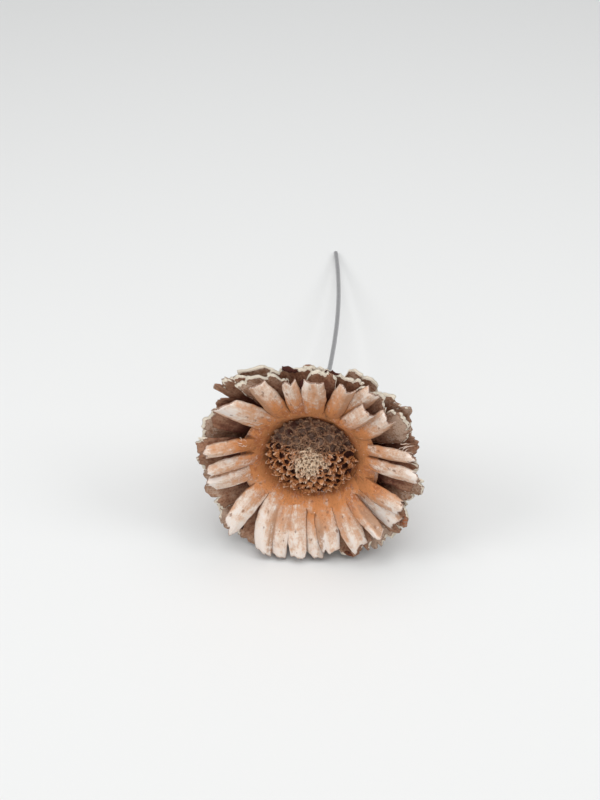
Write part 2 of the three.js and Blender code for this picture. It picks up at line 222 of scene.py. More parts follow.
def lifted_curve(radii, heights, s, lift):
    """Radius and height at s of a Bezier line in the half-plane through the head's axis, lifted square
    to the line and towards the face."""
    dr, dh = bezier_slope(radii, s), bezier_slope(heights, s)
    run = np.hypot(dr, dh)
    return bezier(radii, s) - dh / run * lift, bezier(heights, s) + dr / run * lift


def together(x, y, z):
    """Three arrays as one array of points."""
    return np.stack(np.broadcast_arrays(x, y, z), axis=-1)


def full_turn(count):
    """Evenly spaced angles, once round."""
    return np.linspace(0, 2 * math.pi, count, endpoint=False)


def thinned(v, power=6):
    """1 in the middle of a blade and 0 at its sides: the root of 1 - v^power."""
    return np.sqrt(np.clip(1 - v ** power, 0, 1))


def unit(vectors):
    """The vectors, each divided by its length."""
    return vectors / np.linalg.norm(vectors, axis=-1, keepdims=True)


class Noise:
    """Value noise on a plane: each whole-number point has a drawn value from -1 to 1, and the values
    between are blended by a cubic step."""

    def __init__(self, seed):
        self.table = np.random.default_rng(seed).uniform(-1, 1, (64, 64))

    def __call__(self, x, y):
        x, y = np.broadcast_arrays(x, y)
        column, row = np.floor(x).astype(int), np.floor(y).astype(int)
        u, w = smooth_step(0, 1, x - column), smooth_step(0, 1, y - row)
        size = len(self.table)
        corner = [[self.table[(column + i) % size, (row + j) % size] for j in (0, 1)] for i in (0, 1)]
        near, far = (first * (1 - w) + second * w for first, second in corner)
        return near * (1 - u) + far * u


def shape():
    """The settings of the head's place and wear."""
    return bpy.context.scene.protea_shape


def wear_seed(use):
    """The seed of one use of the wear."""
    return shape().wear_seed + WEAR_STEPS[use]


def head_axes():
    """The head's right, up and face directions in the row frame, one to a row."""
    tilt, turn = shape().face_tilt, shape().face_turn
    face = np.array([-math.sin(turn) * math.cos(tilt), -math.cos(turn) * math.cos(tilt),
                     math.sin(tilt)])
    right = unit(np.cross((0, 0, 1), face))
    return np.stack([right, np.cross(face, right), face])


def to_row_frame(points):
    """Head frame in mm to row frame in metres: the head's centre plus each coordinate along its axis.
    What would reach below the table is worn flat on it."""
    placed = np.array(shape().head_centre) + (np.asarray(points) @ head_axes()) * MM
    placed[..., 2] = np.maximum(placed[..., 2], 0)
    return placed


def round_axis(radius, azimuth, height):
    """Cylinder coordinates to the head frame: (r cos a, r sin a, h)."""
    return together(radius * np.cos(azimuth), radius * np.sin(azimuth), height)


# ---- meshes

class Surface:
    """Collects grids of points, their faces and their attributes, and makes one mesh of them."""

    def __init__(self):
        self.points, self.faces, self.values, self.count = [], [], {}, 0

    def add(self, points, faces, **values):
        """Adds closed bodies, turned outwards: a negative volume means that they are inside out. A value
        is one number for all the points, or has one for each of them. The grain has three for each."""
        points = points.reshape(-1, 3)
        a, b, c, d = (points[faces[:, corner]] for corner in range(4))
        volume = np.einsum("ij,ij->", a, np.cross(b, c)) + np.einsum("ij,ij->", a, np.cross(c, d))
        self.points.append(points)
        self.faces.append((faces if volume > 0 else faces[:, ::-1]) + self.count)
        self.count += len(points)
        for name, value in values.items():
            size = points.shape if name == "grain" else points.shape[:1]
            value = np.reshape(value, size) if np.size(value) > 1 else np.full(size, value)
            self.values.setdefault(name, []).append(value)

    def build(self, name, material, slot):
        """Makes the piece, which rides on the one body."""
        mesh = bpy.data.meshes.new(name)
        faces = [distinct(face) for face in np.concatenate(self.faces).tolist()]
        mesh.from_pydata(np.concatenate(self.points).tolist(), [], faces)
        for key, parts in self.values.items():
            data = np.concatenate(parts).astype(np.float32)
            kind, field = ("FLOAT_VECTOR", "vector") if data.ndim == 2 else ("FLOAT", "value")
            mesh.attributes.new(key, kind, "POINT").data.foreach_set(field, data.ravel())
        mesh.shade_smooth()
        mesh.materials.append(material)
        piece = linked(name, mesh)
        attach(piece, "root")
        return piece


def linked(name, data):
    """A new object of the scene."""
    made = bpy.data.objects.new(name, data)
    bpy.context.scene.collection.objects.link(made)
    return made


def distinct(face):
    """A face without the corners that repeat the one before: a quad with one of them is a triangle."""
    return [corner for k, corner in enumerate(face) if corner != face[k - 1]]


def grid_faces(rows, columns, rows_close=False, columns_close=False):
    """Quads of a grid numbered row by row, with its last row or column joined to the first on request."""
    i = np.arange(rows if rows_close else rows - 1)[:, None]
    j = np.arange(columns if columns_close else columns - 1)[None, :]
    i_next, j_next = (i + 1) % rows, (j + 1) % columns
    corners = (i * columns + j, i_next * columns + j, i_next * columns + j_next, i * columns + j_next)
    return np.stack([c.ravel() for c in np.broadcast_arrays(*corners)], axis=1)


def tube_faces(rings, sides):
    """Faces of a tube numbered ring by ring, whose first and last rings are closed by fans."""
    k = np.arange(1, sides - 1)
    start = np.stack([k + 1, k, 0 * k, 0 * k], axis=1)
    end = start[:, [1, 0, 2, 3]] + (rings - 1) * sides
    return np.concatenate([grid_faces(rings, sides, columns_close=True), start, end])


def blade_faces(rows, columns):
    """Faces of a blade whose cross-section is one loop, as round_blade makes it. Flat strips close the
    root and the tip."""
    size = 2 * columns - 2
    j = np.arange(columns - 1)
    back, back_next = (size - j) % size, (size - j - 1) % size
    root = np.stack([j, j + 1, back_next, back], axis=1)
    tip = root[:, [0, 3, 2, 1]] + (rows - 1) * size
    return np.concatenate([grid_faces(rows, size, columns_close=True), root, tip])


def round_blade(front, back, axis=1):
    """The loop round a blade: its front columns, then its back ones in reverse without the two that both
    sides share."""
    inner = np.arange(back.shape[axis] - 2, 0, -1)
    return np.concatenate([front, back.take(inner, axis)], axis=axis)


def repeated(faces, size, count):
    """The faces of as many like bodies as count says, each of size points."""
    return (faces[None] + size * np.arange(count)[:, None, None]).reshape(-1, 4)


# ---- bracts

FACE_RADIUS = 40  # the attribute "reach" is the distance from the head's axis as a share of this
BACK_GRAIN = (0, 0, 31.0)  # moves the pattern of a bract's back away from that of its front


class Bract:
    """One bract of a row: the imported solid's shape from the row's draws, and its wear."""

    def __init__(self, row, place, draw, wear, thickness, broad):
        root, tip, width, extra = place
        self.row = {**(OUTER_KIND if broad else INNER_KIND), **row}

        def spread():
            """The next draw, from -1 to 1."""
            return 2 * next(draw) - 1

        def worn(narrow, wide):
            """A draw of the wear between the limits of this kind of bract, or 0 where it has none."""
            limits = wide if broad else narrow
            return wear.uniform(*limits) if limits else 0

        longer, forward = extra + VARY_LENGTH * spread(), VARY_FLARE * spread()
        self.twist = VARY_TWIST * spread()
        self.torn = [self.row["ragged"] * next(draw) for _ in range(TORN_POINTS)]
        self.point = self.row["slant"] * spread()
        self.azimuth, self.sway = math.radians(root), math.radians(tip - root)
        radii, heights, widths = np.array(row["sections"], dtype=float).T
        share = np.array([0, 0, 0.5, 1])
        self.radii, self.heights = radii + longer * share, heights + forward * share
        self.widths = widths * width
        self.length = math.hypot(self.radii[3] - self.radii[0], self.heights[3] - self.heights[0])
        self.thickness, self.broad = thickness, broad
        self.tone = wear.uniform()
        self.offset = wear.uniform(0, 60, 2)
        self.droop = worn((0.1, 1.0), (-0.6, 0.6))
        self.proud = worn((-0.25, 0.35), None)
        self.bend = worn((-1.2, 0.5), (-1.9, 0.5))
        self.wave = worn((0.05, 0.2), (0.11, 0.44))
        self.ripple = worn((0.0, 0.15), (0.4, 1.1))
        self.phase = wear.uniform(0, 2 * math.pi, 3)
        self.ridge = wear.uniform(-0.35, 0.35)
        self.fold = worn((0.2, 1.2), None)
        # Which side of the bract is painted in shade, and how strongly.
        self.side_shade = wear.uniform(-1, 1)
        # Each notch: its place across the tip, its depth in mm and its half width.
        least, most = (-0.9, 0.4, 0.05), (0.9, 2.2 if broad else 1.4, 0.2)
        self.notches = [wear.uniform(least, most) for _ in range(wear.integers(0, 5 if broad else 2))]

    def tear(self, v, noise):
        """Length missing at the tip, in mm: a line through the drawn points, the slant on either side of
        the point, the roughness of torn fibres and the steps of chips by noise, and each notch as a V of
        its own size."""
        across, (first, second) = v * self.widths[3] / 2, self.offset
        missing = np.interp(v, np.linspace(-1, 1, TORN_POINTS), self.torn) + 0.2
        missing = missing + self.row["pointed"] * np.abs(v - self.point) ** self.row["blunt"]
        rough, fine = noise(across / 0.9 + first, second), noise(across / 0.35 + second, first)
        missing = missing + (0.3 + 0.5 * self.broad) * (rough + 1) / 2 + 0.2 * (fine + 1) / 2
        chipped = noise(across / 2.4 + second, first + 9)
        missing = missing + (0.4 + 0.7 * self.broad) * smooth_step(0.15, 0.3, chipped)
        for place, depth, width in self.notches:
            missing = missing + depth * np.clip(1 - np.abs(v - place) / width, 0, 1)
        return missing

    def place(self, s, v, lift):
        """The point at s along the bract and v across it (-1 to 1), lifted off the middle surface.
        The line through its sections is lifted, and the width wraps round the head's axis."""
        half_width = bezier(self.widths, s) / 2
        raised = lift + self.twist * s * v * half_width - self.row["crown"] * s * v * v
        azimuth = self.azimuth + self.sway * s * s + v * half_width / bezier(self.radii, s)
        radius, height = lifted_curve(self.radii, self.heights, s, raised)
        return round_axis(radius, azimuth, height)

    def sag(self, s, v):
        """How the worn bract leaves its plain form: a ridge runs along it, its sides droop by v squared,
        its tip bends by the square of the way past its middle, and waves run along and across it."""
        free = smooth_step(0.25, 0.7, s)
        tip = np.clip((s - 0.55) / 0.45, 0, 1) ** 2
        along = self.wave * np.sin(2 * math.pi * 1.6 * s + self.phase[0])
        across = self.ripple * np.sin(math.pi * 1.3 * v + self.phase[1]) * tip
        ridge = self.fold * np.exp(-np.sqrt((v - self.ridge) ** 2 + 0.012) / 0.45)
        return free * (ridge + self.proud - self.droop * v * v + self.bend * tip + along) + across

    def blade(self, grid, noise):
        """Points, faces and attributes of the closed blade. Half its thickness stands on either side of
        the middle surface and narrows to nothing at the sides, and a broad bract swells towards its
        torn tip. The columns stand closer together towards the sides, as the sine of an angle."""
        rows, columns = grid
        first, second = self.offset
        v = np.sin(np.linspace(-0.5, 0.5, columns) * math.pi * 0.86) / math.sin(0.43 * math.pi)
        q = np.linspace(0, 1, rows)[:, None]
        s = q * (1 - self.tear(v, noise) / self.length * q * q)
        v = np.broadcast_to(v, s.shape)
        half_width = bezier(self.widths, s) / 2
        across, along, from_side = v * half_width, s * self.length, (1 - np.abs(v)) * half_width
        grain = noise(across / 0.45 + first, along / 9 + second)
        lumps = noise(across / 2.2 + second, along / 3.5 + first)
        relief = (0.06 * grain + self.row["lumps"] * lumps) * smooth_step(0.1, 0.4, s)
        lumpy = 0.55 + 0.45 * noise(across / 1.7 + second, 4.5 + first)
        swollen = 1 + 0.55 * self.broad * smooth_step(0.85, 1, q) * lumpy
        half = self.thickness / 2 * swollen * thinned(v)
        middle = self.sag(s, v) + relief
        frayed = v + 0.07 * v ** 5 * noise(along / 1.6 + first, 5 * np.sign(v) + second)
        sheets = [self.place(s, frayed, middle + way * half) for way in (1, -1)]
        at_tip = 1 - (1 - q) * self.length / self.row["tip_rim"]
        at_side = self.row["side_share"] - from_side / self.row["side_rim"]
        # One side of the bract is painted in shade: darker tan with less wash.
        toward_shade = (v - self.ridge) * math.copysign(1, self.side_shade)
        pattern = together(across, along, 9.0 * first)
        values = {
            "reach": bezier(self.radii, s) / FACE_RADIUS,
            "rim": np.clip(np.maximum(at_tip, at_side), 0, 1),
            # Painted shade in the creases where the bracts part, strongest by their sides and towards their
            # roots.
            "crease": np.clip(1 - from_side / 0.8, 0, 1) * (0.6 + 0.4 * smooth_step(0.75, 0.35, s)),
            "flank": smooth_step(0.0, 0.9, toward_shade) * abs(self.side_shade),
        }
        return round_blade(*sheets), blade_faces(rows, columns), {
            "grain": round_blade(pattern, pattern + BACK_GRAIN),
            **{name: round_blade(value, value) for name, value in values.items()},
            "front": round_blade(np.ones_like(s), np.zeros_like(s)), "tone": self.tone}


def row_places(row, draw):
    """The listed places, or evenly spaced ones that drawn angles and widths loosen."""
    if "places" in row:
        return row["places"]
    places = []
    for index in range(row["count"]):
        azimuth, sway, wider = (2 * next(draw) - 1 for _ in range(3))
        root = 360 * (index + row["phase"]) / row["count"] + VARY_AZIMUTH * azimuth
        tip = root + VARY_SWAY * sway
        extra = row["uneven"] * np.interp(tip % 360, *zip(*OUTLINE))
        places.append((root, tip, 1 + VARY_WIDTH * wider, extra))
    return places


def add_rows(surface, rows, draw, wear, thickness, broad):
    """The bracts of all the rows in the order of their draws, and the curls that hang on them."""
    noise = Noise(wear_seed("bracts"))
    for row_index, row in enumerate(rows):
        for index, place in enumerate(row_places(row, draw)):
            bract = Bract(row, place, draw, wear, thickness, broad)
            points, faces, values = bract.blade(OUTER_GRID if broad else INNER_GRID, noise)
            surface.add(to_row_frame(points), faces, **values)
            for number, curl in enumerate(CURLS if broad else []):
                if curl[:2] == (row_index, index):
                    add_curl(surface, bract, curl, number, noise)


# Rolled bits of rim that the photo shows: the outer row and the bract that it belongs to, its place
# across that bract, how far it is set in from the tip, its length, its roll's radius, and how dark it is.
# The second, the darkest, is painted shade: a dark sheet where a hole between the tips and the rims
# lies in shade.
CURLS = [
    (1, 3, -0.05, 0.4, 6.4, 1.0, 1.0), (0, 2, 0.8, 1.2, 3.4, 1.3, 1.3), (1, 2, 0.45, 0.3, 6.0, 0.6, 1.0),
    (0, 10, 0.1, 1.0, 5.0, 1.0, 0.55), (0, 7, -0.5, 0.8, 3.6, 0.8, 0.9), (0, 9, -0.3, 0.8, 3.4, 0.8, 0.75),
]
CURL_GRID = (15, 11)
CURL_HALF_ANGLE = 1.5
CURL_HALF_THICKNESS = 0.26


def add_curl(surface, bract, curl, index, torn):
    """A strip of rim rolled into part of a tube: it follows the bract's width, and in its section the
    angle runs from -1.5 to 1.5 radians about a radius that shrinks to its ends."""
    _, _, across, inset, length, roll, dark = curl
    noise = Noise(wear_seed("curls"))
    rows, columns = CURL_GRID
    u = np.linspace(-1, 1, rows)[:, None]
    v = np.linspace(-1, 1, columns)[None, :]
    offset = across + u * length / bract.widths[3]
    along = 1 - (bract.tear(offset, torn) + inset) / bract.length
    radius = roll * (1 - 0.75 * u * u) * (1 + 0.25 * noise(u * 2.4 + index, 0.5 * index))
    angle = CURL_HALF_ANGLE * v + 0.5 * noise(u * 1.3 + index, 7.5) + 0.4
    sheets = []
    for way in (1, -1):
        r = radius + way * CURL_HALF_THICKNESS * thinned(v) * np.sqrt(1 - 0.9 * u ** 4)
        s = along + r * np.sin(angle) / bract.length
        sheets.append(bract.place(s, offset, bract.sag(s, offset) + r * np.cos(angle)))
    edge = np.clip(np.maximum(np.abs(u), np.abs(v)) * 3 - 2.1, 0, 1) * np.clip(1.2 - dark, 0, 1)
    pattern = together(v * 2, u * length / 2, index * 3.0)
    surface.add(to_row_frame(round_blade(*sheets)), blade_faces(rows, columns),
                grain=round_blade(pattern, pattern), reach=1, rim=round_blade(edge, edge), crease=0,
                flank=0, front=1, tone=1 + dark)


# Where the photo shows frayed bracts: azimuth, radius, height, how many fibres, and their length.
FRAYED = [
    (21, 34.0, 5.4, 8, 5.0), (163, 24.5, 3.2, 9, 2.2), (192, 24.0, 2.6, 9, 2.4), (60, 33.0, 5.0, 4, 2.5),
]
FIBRE_RINGS = 11
FIBRE_SIDES = 5


def add_fibres(surface):
    """Loose fibres: each is a tube that tapers to its ends, round a line bent by the square of the way
    along it and waved by a sine."""
    rng = np.random.default_rng(wear_seed("fibres"))
    starts = [
        (azimuth + rng.uniform(-4, 4), radius + rng.uniform(-1.5, 1.5), height + rng.uniform(-0.6, 0.6),
         length * rng.uniform(0.5, 1.0), azimuth + rng.uniform(-60, 40))
        for azimuth, radius, height, count, length in FRAYED for _ in range(count)]
    azimuth, radius, height, length, heading = np.array(starts).T[..., None, None]
    count = len(starts)
    start = round_axis(radius, np.radians(azimuth), height)
    heading = unit(round_axis(1.0, np.radians(heading), rng.uniform(-0.3, 0.4, (count, 1, 1))))
    side = unit(np.cross(heading, (0, 0, 1.0)))
    rise = np.cross(side, heading)
    t = np.linspace(0, 1, FIBRE_RINGS)[None, :, None, None]
    turn = full_turn(FIBRE_SIDES)[None, None, :, None]
    bow = rng.uniform(-1.0, 1.0, (2, count, 1, 1, 1)) * (t * t - t)
    wave = rng.uniform(0, 2 * math.pi, (count, 1, 1, 1))
    thick = rng.uniform(0.07, 0.13, (count, 1, 1, 1)) * (1 - np.abs(2 * t - 0.8) ** 3 / 1.75)
    curve = bow[0] + 0.06 * np.sin(5 * t + wave)
    line = start + (heading * t + side * curve + rise * bow[1]) * length[..., None]
    points = line + thick * (side * np.cos(turn) + rise * np.sin(turn))
    faces = repeated(tube_faces(FIBRE_RINGS, FIBRE_SIDES), FIBRE_RINGS * FIBRE_SIDES, count)
    surface.add(to_row_frame(points), faces, grain=points, reach=0.8, rim=0.5, crease=0, flank=0,
                front=1, tone=1)


BASIN_AROUND = 420
BASIN_UPPER, BASIN_LOWER = 26, 12
BASIN_FADE = 0.34  # where the fused part starts to sink below the bracts
BASIN_REACH = 0.52


def add_basin(surface):
    """The fused part of the inner bracts: a ring whose upper side follows the front row, sinks below
    the bracts at its outer edge along a wavering line, and has fine radial furrows. Its lower side
    follows the back row."""
    noise = Noise(wear_seed("basin"))
    azimuth = full_turn(BASIN_AROUND)[:, None]
    across = azimuth * BASIN_AROUND / (2 * math.pi)
    s = np.linspace(0, BASIN_REACH, BASIN_UPPER)[None, :]
    sink = smooth_step(0, 0.17, s - BASIN_FADE - 0.05 * noise(across / 12, 3.0))
    furrow = 0.07 * noise(across / 2.6, s * 6) + 0.12 * noise(across / 9, s * 9)
    front_row, back_row = (np.array(row["sections"], dtype=float).T[:2] for row in INNER_ROWS)
    radius, height = lifted_curve(*front_row, s, 0.32 + furrow * smooth_step(0, 0.1, s) - 2.3 * sink)
    inside = np.clip(1 - s / 0.14, 0, 1) ** 2
    s_back = np.linspace(BASIN_REACH, 0, BASIN_LOWER)[None, :]
    lower = lifted_curve(*back_row, s_back, -0.45 - 0.4 * s_back + 0 * azimuth)
    radius = np.concatenate([radius - 0.95 * inside, lower[0]], axis=1)
    height = np.concatenate([height + 1.3 * inside, lower[1]], axis=1)
    s_all = np.concatenate([s, s_back], axis=1) + 0 * azimuth
    front = np.concatenate([np.ones_like(s), np.zeros_like(s_back)], axis=1) + 0 * azimuth
    surface.add(to_row_frame(round_axis(radius, azimuth, height)),
                grid_faces(*radius.shape, rows_close=True, columns_close=True),
                grain=together(across * 0.25, s_all * 26, 0),
                reach=radius / FACE_RADIUS, rim=0, crease=0, flank=0, front=front, tone=0.5)


# ---- receptacle

FLORETS = 76
FLORETS_PAST_EDGE = 26
FLORET_SPREAD = 0.72
FLORET_MARGIN = 1.4
FLORET_JITTER = 0.2
DOME_SPHERE = (CONE_RADIUS ** 2 + (DOME_TOP - DOME_EDGE) ** 2) / (2 * (DOME_TOP - DOME_EDGE))
DOME_RINGS = 84
SIDE_RINGS = 40
RECEPTACLE_AROUND = 400
POLE_RADIUS = 0.02


def dome_height(radius):
    """Height of the sphere that the dome is cut from."""
    return DOME_TOP - DOME_SPHERE + np.sqrt(DOME_SPHERE ** 2 - radius ** 2)


def upper_part(radius, azimuth):
    """0 in the dome's lower half and 1 near its upper edge, where the photo shows a dusting and shade."""
    return smooth_step(1, 9, radius * np.sin(azimuth))


def floret_places():
    """Centres of the pits: radius grows as a power of the number, and each is a golden angle on. The
    ones past the dome's edge only close the outermost pits."""
    number = np.arange(FLORETS + FLORETS_PAST_EDGE)
    share = ((number + 0.5) / FLORETS) ** FLORET_SPREAD
    radius = (CONE_RADIUS - FLORET_MARGIN) * share
    jitter = FLORET_JITTER * np.random.default_rng(SEED).uniform(-1, 1, (2, len(number)))
    return radius + jitter[0], number * GOLDEN_ANGLE + jitter[1] / np.maximum(radius, 1)


def honeycomb(radius, azimuth):
    """Relief of the pits, from the distances to the nearest three centres: a wall stands where the first
    two are equal, and a point where all three are. Returns the shares of wall and point, and the size of
    the pits, which grow outwards."""
    x, y, _ = np.moveaxis(round_axis(radius, azimuth, 0), -1, 0)
    noise = Noise(SEED)
    x, y = x + 0.3 * noise(x / 1.4, y / 1.4), y + 0.3 * noise(y / 1.4 + 31, x / 1.4)
    cx, cy, _ = round_axis(*floret_places(), 0).T
    distance = np.hypot(x[..., None] - cx, y[..., None] - cy)
    first, second, third = np.moveaxis(np.partition(distance, (0, 1, 2), axis=-1)[..., :3], -1, 0)
    size = 0.62 + 0.38 * radius / CONE_RADIUS
    wall = 1 - smooth_step(0.1, 0.85, (second - first) / size)
    point = 1 - smooth_step(0.0, 1.3, (third - first) / size)
    return wall, point, size


def add_receptacle(surface):
    """A surface of revolution from the bottom of the wire's hole, over the cut stub and up the cone, to
    the dome, where the honeycomb is raised along a line between the axis and the dome's normal."""
    noise = Noise(wear_seed("receptacle"))
    azimuth = full_turn(RECEPTACLE_AROUND)[None, :]
    bottom = STUB_END + WIRE_HOLE_DEPTH
    hole = [(POLE_RADIUS, bottom), (WIRE_HOLE_RADIUS, bottom), (WIRE_HOLE_RADIUS, STUB_END + 0.25),
            (WIRE_HOLE_RADIUS + 0.2, STUB_END)]
    face = [(r, STUB_END) for r in np.linspace(2, STUB_RADIUS - 0.3, 9)]
    corners = np.array(CONE_SIDE[:-1])
    corners[0] += (0, 0.3)
    steps = np.linspace(0, len(corners) - 1, SIDE_RINGS)
    side = np.stack([np.interp(steps, range(len(corners)), column) for column in corners.T], axis=1)
    low = np.concatenate([hole, face, side])
    low_radius, low_height = low[:, :1], low[:, 1:]
    fibres = 0.12 * noise(azimuth * RECEPTACLE_AROUND / (2 * math.pi) / 3.5, low_height / 7)
    on_end = smooth_step(WIRE_HOLE_RADIUS + 0.3, 2.2, low_radius) * (low_height < STUB_END + 0.01)
    low_height = low_height + on_end * 0.22 * noise(low_radius * 2.2, azimuth * 3)
    low_radius = low_radius + fibres * (low_radius > STUB_RADIUS - 0.4)
    dome_radius = np.linspace(CONE_RADIUS, POLE_RADIUS, DOME_RINGS)[:, None]
    wall, point, size = honeycomb(dome_radius, azimuth)
    edge = smooth_step(0, 1.0, CONE_RADIUS - dome_radius)
    filled = upper_part(dome_radius, azimuth)
    depth = (0.3 + 0.7 * smooth_step(2, 9, dome_radius)) * (1 - 0.7 * filled)
    rise = edge * size * depth * (1.5 * wall + 1.5 * point ** 1.6 - 1.8) + 0.1
    rise = rise + edge * (0.2 + 0.5 * filled) * noise(dome_radius * 1.6, azimuth * 14)
    slope = np.arcsin(dome_radius / DOME_SPHERE) * 0.7
    outwards = 0.35 * edge * point ** 2 * size * dome_radius / CONE_RADIUS
    radius = np.concatenate([low_radius, dome_radius + rise * np.sin(slope) + outwards])
    height = np.concatenate([low_height, dome_height(dome_radius) + rise * np.cos(slope)])
    ridges = np.clip(0.62 * wall + 0.6 * point, 0, 1)
    broken = 0.4 + 0.5 * noise(dome_radius * 0.9 + 7, azimuth * 9)
    bare = np.zeros((len(low), RECEPTACLE_AROUND))
    crest = np.concatenate([bare - 1, ridges * (1 - 0.55 * filled) + 0.55 * filled * broken])
    surface.add(to_row_frame(round_axis(radius, azimuth, height)), tube_faces(*radius.shape),
                crest=crest, grain=together(radius * azimuth, height, radius),
                reach=radius / CONE_RADIUS, dusty=np.concatenate([bare, filled]))


SCALE_GRID = (6, 9)
CHAFF_GRID = (4, 5)
FRINGE_SCALES = 30
MIDDLE_CHAFF = 190
UPPER_CHAFF = 330
SCALE_HALF_ARC = 1.15
SCALE_SUNK = 0.7  # how far the foot of a scale is below the dome


def add_scales(surface):
    """Lips on the outer side of the pits, a fringe at the dome's edge, and chaff round the middle and
    over the upper part."""
    rng = np.random.default_rng(wear_seed("scales"))
    radius, azimuth = (values[:FLORETS] for values in floret_places())
    share = radius / CONE_RADIUS
    fringe, middle, upper = FRINGE_SCALES, MIDDLE_CHAFF, UPPER_CHAFF
    turn = 2 * math.pi * (np.arange(fringe) + rng.uniform(-0.3, 0.3, fringe)) / fringe
    # Grid, radius, azimuth, width, height, lean, looseness and thickness of each kind.
    kinds = [
        (SCALE_GRID, radius, azimuth, 3.5 * (0.5 + 0.5 * share),
         2.7 * (0.45 + 0.55 * share) * (1 - 0.5 * upper_part(radius, azimuth)), 0.3, 0.14, 0.36),
        (SCALE_GRID, np.full(fringe, CONE_RADIUS - 0.9), turn, rng.uniform(1.8, 2.8, fringe),
         rng.uniform(1.5, 2.8, fringe) * (1 - 0.45 * upper_part(14, turn)), 0.7, 0.3, 0.24),
        (CHAFF_GRID, 6.5 * rng.uniform(0, 1, middle) ** 0.6, rng.uniform(0, 2 * math.pi, middle),
         rng.uniform(0.5, 1.5, middle), rng.uniform(0.8, 2.3, middle), 0.0, 1.2, 0.16),
        (CHAFF_GRID, rng.uniform(3, 13.2, upper), math.pi / 2 + rng.uniform(-1.3, 1.3, upper),
         rng.uniform(0.4, 1.3, upper), rng.uniform(0.7, 1.9, upper), 0.1, 1.2, 0.16),
    ]
    for kind in kinds:
        add_bent_blades(surface, rng, *kind)


def add_bent_blades(surface, rng, grid, middle, turned, width, height, lean, loose, thickness):
    """Blades bent round their pits as arcs. The height of each falls from its middle to its sides. It
    leans outwards more the further up, sways sideways by the square of the way up, and is turned round
    its pit by a drawn angle."""
    rows, columns = grid
    up = np.linspace(0, 1, rows)[None, :, None]
    across = np.linspace(-1, 1, columns)[None, None, :]
    count = len(middle)
    draw = rng.uniform(-1, 1, (6, count, 1, 1))
    middle, turned, width, height = np.stack([middle, turned, width, height])[..., None, None]
    height = height * (1 + 0.35 * draw[0])
    facing = draw[1] * loose * 1.3
    slope = np.arcsin(np.minimum(middle / DOME_SPHERE, 1)) * 0.75
    tilt = slope + lean * (0.4 + 0.6 * up) + 0.35 * draw[2]
    top = np.clip(1 - np.abs(across - 0.35 * draw[4]), 0, 1) ** 0.9
    ragged = 0.12 * draw[5] * np.sin(9 * across + 6 * draw[4])
    rise = height * up * (0.22 + 0.78 * top + ragged) - SCALE_SUNK
    arc = SCALE_HALF_ARC * across
    beside = 0.6 * width * np.sin(arc) / math.sin(SCALE_HALF_ARC) * (1 - 0.2 * up)
    beside = beside + 0.3 * height * up ** 2 * draw[3]
    out = 0.5 * width * np.cos(arc) + 0.35 * lean * width * up
    thick = thickness * (1 - 0.7 * up) * thinned(across, 4)
    foot = dome_height(np.minimum(middle, CONE_RADIUS))
    sheets = []
    for way in (1, -1):
        ahead = (out + way * thick) * np.cos(facing) - beside * np.sin(facing)
        side = (out + way * thick) * np.sin(facing) + beside * np.cos(facing)
        r = middle + ahead * np.cos(slope) + rise * np.sin(tilt)
        h = foot - ahead * np.sin(slope) + rise * np.cos(tilt)
        sheets.append(together(r * np.cos(turned) - side * np.sin(turned),
                               r * np.sin(turned) + side * np.cos(turned), h))
    points = round_blade(*sheets, axis=2)
    crest = (0.25 + 0.75 * up * (1 - 0.4 * np.abs(across))) + 0 * middle
    crest = round_blade(crest, crest, axis=2)
    surface.add(to_row_frame(points), repeated(blade_faces(rows, columns), crest[0].size, count),
                crest=crest, grain=points, reach=middle / CONE_RADIUS + 0 * crest,
                dusty=upper_part(middle, turned) + 0 * crest)


WIRE_RINGS = 110
WIRE_STRAIGHT_RINGS = 12
WIRE_SIDES = 20
WIRE_ROUNDING = 0.25
WIRE_END_RADIUS = 0.01


def wire_route():
    """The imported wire's centre line: straight out of the stub along the head's axis, and then one cubic
    Bezier curve to its far end on the table."""
    def along(height):
        """The point of the head's axis at a height, in the row frame but in mm."""
        return to_row_frame([0, 0, height]) / MM

    bottom, leaves = along(STUB_END + WIRE_HOLE_DEPTH - WIRE_END_GAP), along(STUB_END - WIRE_STRAIGHT)
    tip = np.array(WIRE_TIP)
    t = np.linspace(0, 1, WIRE_RINGS - WIRE_STRAIGHT_RINGS)[:, None]
    bend = bezier([leaves, along(STUB_END - WIRE_BEND), tip + WIRE_APPROACH, tip], t)
    share = np.linspace(0, 1, WIRE_STRAIGHT_RINGS, endpoint=False)[:, None]
    return np.concatenate([bottom + (leaves - bottom) * share, bend])


def add_wire(surface):
    """A tube along the wire's route. Each ring stands square to the route, and the last ones at either
    end shrink, so that the cut edges are slightly rounded."""
    line = wire_route()
    ahead = unit(np.gradient(line, axis=0))
    line, ahead = (np.pad(rows, ((2, 2), (0, 0)), mode="edge") for rows in (line, ahead))
    line[2] += WIRE_ROUNDING * ahead[2]
    line[-3] -= WIRE_ROUNDING * ahead[-3]
    side = unit(np.cross(ahead, (0, 0, 1.0)))
    up = np.cross(side, ahead)
    radius = np.full((len(line), 1, 1), WIRE_RADIUS)
    radius[[0, -1]] = WIRE_END_RADIUS
    radius[[1, -2]] = WIRE_RADIUS - WIRE_ROUNDING
    turn = full_turn(WIRE_SIDES)[None, :, None]
    ring = side[:, None, :] * np.cos(turn) + up[:, None, :] * np.sin(turn)
    surface.add((line[:, None, :] + ring * radius) * MM, tube_faces(len(line), WIRE_SIDES))


# ---- materials

RUST = (0.37, 0.105, 0.035)
THIN_WASH = (0.80, 0.565, 0.42)
CREAM_WASH = (0.94, 0.77, 0.645)
WHITE_WASH = (0.96, 0.87, 0.80)

